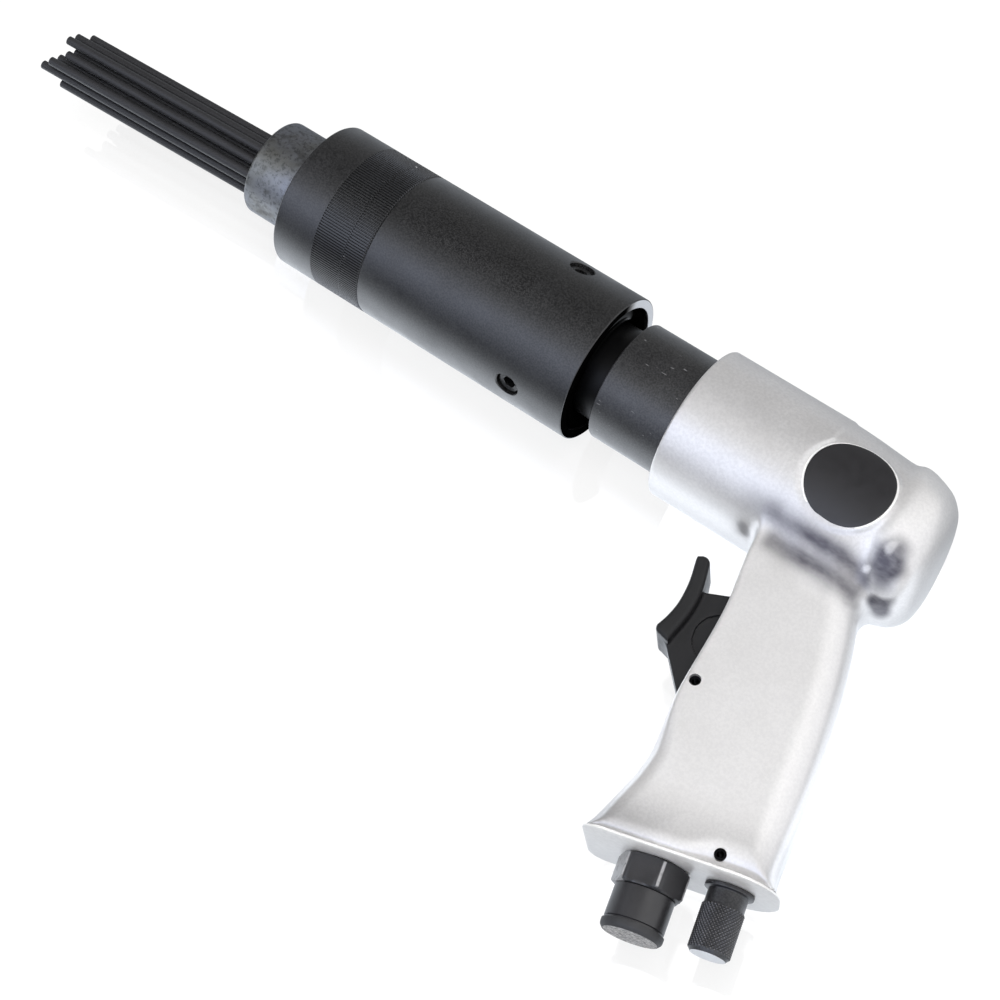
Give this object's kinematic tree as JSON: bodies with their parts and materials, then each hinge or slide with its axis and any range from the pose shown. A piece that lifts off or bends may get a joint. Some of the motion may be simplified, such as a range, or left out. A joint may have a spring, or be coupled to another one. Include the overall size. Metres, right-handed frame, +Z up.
{
  "type": "needle scaler",
  "caption": "Pistol-grip pneumatic needle scaler: a bundle of loose steel needles driven through a nose by a piston and anvil, with trigger, air regulator and threaded air inlet.",
  "frame": {"origin": "bottom centre of the box round the whole tool, lying on its right side", "axes": "-X out of the nose along the needles, -Y down the handle, +Z up out of the tool's left side"},
  "size_m": [0.3643, 0.1687, 0.0506],
  "materials": {
    "cast_aluminium": "polished die casting, satin where it was tumbled",
    "name_disc": "plain black label curved round the body",
    "black_steel": "black oxide, satin, oiled",
    "needle_steel": "black oxide drawn wire",
    "bare_steel": "bare turned steel, stained",
    "tool_steel": "hardened and ground",
    "rubber": "moulded nitrile",
    "trigger_plastic": "moulded, fine texture",
    "cap_plastic": "soft moulded cap, dusty",
    "brass": "turned"
  },
  "bodies": {
    "tool_body": {"housing": "cast_aluminium", "name_disc": "name_disc", "barrel": "black_steel", "barrel_seal": "rubber", "valve_case_front": "tool_steel", "valve_case_rear": "tool_steel", "valve_dowel": "tool_steel", "clamp_collar": "tool_steel", "buffer_rings": "rubber", "rear_tube": "black_steel", "set_screws": "black_steel", "front_sleeve": "black_steel", "nose": "bare_steel", "return_spring": "tool_steel", "trigger_pin": "tool_steel", "throttle_bush": "brass", "throttle_seat": "brass", "throttle_spring": "tool_steel", "air_inlet": "black_steel", "inlet_screen": "brass", "regulator_pin": "tool_steel"},
    "piston": {"piston": "tool_steel"},
    "valve_disc": {"valve_disc": "tool_steel"},
    "anvil": {"anvil": "tool_steel"},
    "needle_holder": {"needle_holder": "tool_steel"},
    "trigger": {"trigger": "trigger_plastic"},
    "throttle_stem": {"throttle_stem": "brass", "throttle_seal": "rubber"},
    "regulator": {"regulator": "black_steel", "regulator_seal": "rubber"},
    "dust_cap": {"dust_cap": "cap_plastic"},
    "needle_01": {"needle_01": "needle_steel"},
    "needle_02": {"needle_02": "needle_steel"},
    "needle_03": {"needle_03": "needle_steel"},
    "needle_04": {"needle_04": "needle_steel"},
    "needle_05": {"needle_05": "needle_steel"},
    "needle_06": {"needle_06": "needle_steel"},
    "needle_07": {"needle_07": "needle_steel"},
    "needle_08": {"needle_08": "needle_steel"},
    "needle_09": {"needle_09": "needle_steel"},
    "needle_10": {"needle_10": "needle_steel"},
    "needle_11": {"needle_11": "needle_steel"},
    "needle_12": {"needle_12": "needle_steel"},
    "needle_13": {"needle_13": "needle_steel"},
    "needle_14": {"needle_14": "needle_steel"},
    "needle_15": {"needle_15": "needle_steel"},
    "needle_16": {"needle_16": "needle_steel"},
    "needle_17": {"needle_17": "needle_steel"},
    "needle_18": {"needle_18": "needle_steel"},
    "needle_19": {"needle_19": "needle_steel"}
  },
  "joints": [
    {"name": "trigger_pull", "type": "hinge", "parent": "tool_body", "child": "trigger", "pos_m": [0.12822, -0.01312, 0.0253], "axis": [0, 0, -1], "range_deg": [0, 8], "stiffness_Nm_per_rad": 0.6, "springref_deg": -2.86},
    {"name": "throttle_push", "type": "slide", "parent": "tool_body", "child": "throttle_stem", "axis": [0.9622, 0.2723, 0], "range_m": [0, 0.0036], "deforming": ["throttle_spring"]},
    {"name": "piston_strike", "type": "slide", "parent": "tool_body", "child": "piston", "axis": [-1, 0, 0], "range_m": [0, 0.045]},
    {"name": "valve_shift", "type": "slide", "parent": "tool_body", "child": "valve_disc", "axis": [1, 0, 0], "range_m": [0, 0.0005]},
    {"name": "anvil_slide", "type": "slide", "parent": "tool_body", "child": "anvil", "axis": [-1, 0, 0], "range_m": [0, 0.006], "stiffness_N_per_m": 3000, "springref_m": -0.002},
    {"name": "holder_slide", "type": "slide", "parent": "tool_body", "child": "needle_holder", "axis": [-1, 0, 0], "range_m": [0, 0.006], "deforming": ["return_spring"]},
    {"name": "regulator_turn", "type": "hinge", "parent": "tool_body", "child": "regulator", "pos_m": [0.16839, -0.05444, 0.0253], "axis": [0.2723, -0.9622, 0], "range_deg": [0, 270]},
    {"name": "cap_pull", "type": "slide", "parent": "tool_body", "child": "dust_cap", "axis": [0.2723, -0.9622, 0], "range_m": [0, 0.04]},
    {"name": "needle_01_slide", "type": "slide", "parent": "needle_holder", "child": "needle_01", "axis": [-0.9996, -0.0297, 0], "range_m": [-0.00264, 0.00776]},
    {"name": "needle_02_slide", "type": "slide", "parent": "needle_holder", "child": "needle_02", "axis": [-0.9996, -0.0297, 0], "range_m": [-0.01023, 0.00017]},
    {"name": "needle_03_slide", "type": "slide", "parent": "needle_holder", "child": "needle_03", "axis": [-0.9996, -0.0297, 0], "range_m": [-0.00583, 0.00457]},
    {"name": "needle_04_slide", "type": "slide", "parent": "needle_holder", "child": "needle_04", "axis": [-0.9996, -0.0297, 0], "range_m": [-0.00132, 0.00908]},
    {"name": "needle_05_slide", "type": "slide", "parent": "needle_holder", "child": "needle_05", "axis": [-0.9996, -0.0297, 0], "range_m": [-0.00033, 0.01007]},
    {"name": "needle_06_slide", "type": "slide", "parent": "needle_holder", "child": "needle_06", "axis": [-0.9996, -0.0297, 0], "range_m": [-0.00594, 0.00446]},
    {"name": "needle_07_slide", "type": "slide", "parent": "needle_holder", "child": "needle_07", "axis": [-0.9996, -0.0297, 0], "range_m": [-0.00143, 0.00897]},
    {"name": "needle_08_slide", "type": "slide", "parent": "needle_holder", "child": "needle_08", "axis": [-0.9996, -0.0297, 0], "range_m": [-0.00088, 0.00952]},
    {"name": "needle_09_slide", "type": "slide", "parent": "needle_holder", "child": "needle_09", "axis": [-0.9996, -0.0297, 0], "range_m": [-0.00022, 0.01018]},
    {"name": "needle_10_slide", "type": "slide", "parent": "needle_holder", "child": "needle_10", "axis": [-0.9996, -0.0297, 0], "range_m": [-0.00055, 0.00985]},
    {"name": "needle_11_slide", "type": "slide", "parent": "needle_holder", "child": "needle_11", "axis": [-0.9996, -0.0297, 0], "range_m": [-0.00165, 0.00875]},
    {"name": "needle_12_slide", "type": "slide", "parent": "needle_holder", "child": "needle_12", "axis": [-0.9996, -0.0297, 0], "range_m": [-0.00396, 0.00644]},
    {"name": "needle_13_slide", "type": "slide", "parent": "needle_holder", "child": "needle_13", "axis": [-0.9996, -0.0297, 0], "range_m": [-0.00066, 0.00974]},
    {"name": "needle_14_slide", "type": "slide", "parent": "needle_holder", "child": "needle_14", "axis": [-0.9996, -0.0297, 0], "range_m": [-0.0011, 0.0093]},
    {"name": "needle_15_slide", "type": "slide", "parent": "needle_holder", "child": "needle_15", "axis": [-0.9996, -0.0297, 0], "range_m": [-0.00242, 0.00798]},
    {"name": "needle_16_slide", "type": "slide", "parent": "needle_holder", "child": "needle_16", "axis": [-0.9996, -0.0297, 0], "range_m": [-0.00418, 0.00622]},
    {"name": "needle_17_slide", "type": "slide", "parent": "needle_holder", "child": "needle_17", "axis": [-0.9996, -0.0297, 0], "range_m": [-0.00187, 0.00853]},
    {"name": "needle_18_slide", "type": "slide", "parent": "needle_holder", "child": "needle_18", "axis": [-0.9996, -0.0297, 0], "range_m": [-0.00121, 0.00919]},
    {"name": "needle_19_slide", "type": "slide", "parent": "needle_holder", "child": "needle_19", "axis": [-0.9996, -0.0297, 0], "range_m": [-0.00143, 0.00897]}
  ],
  "couplings": [
    {"joint": "throttle_push", "follows": "trigger_pull", "m_per_rad": 0.0245},
    {"joint": "holder_slide", "follows": "anvil_slide", "ratio": 1}
  ]
}
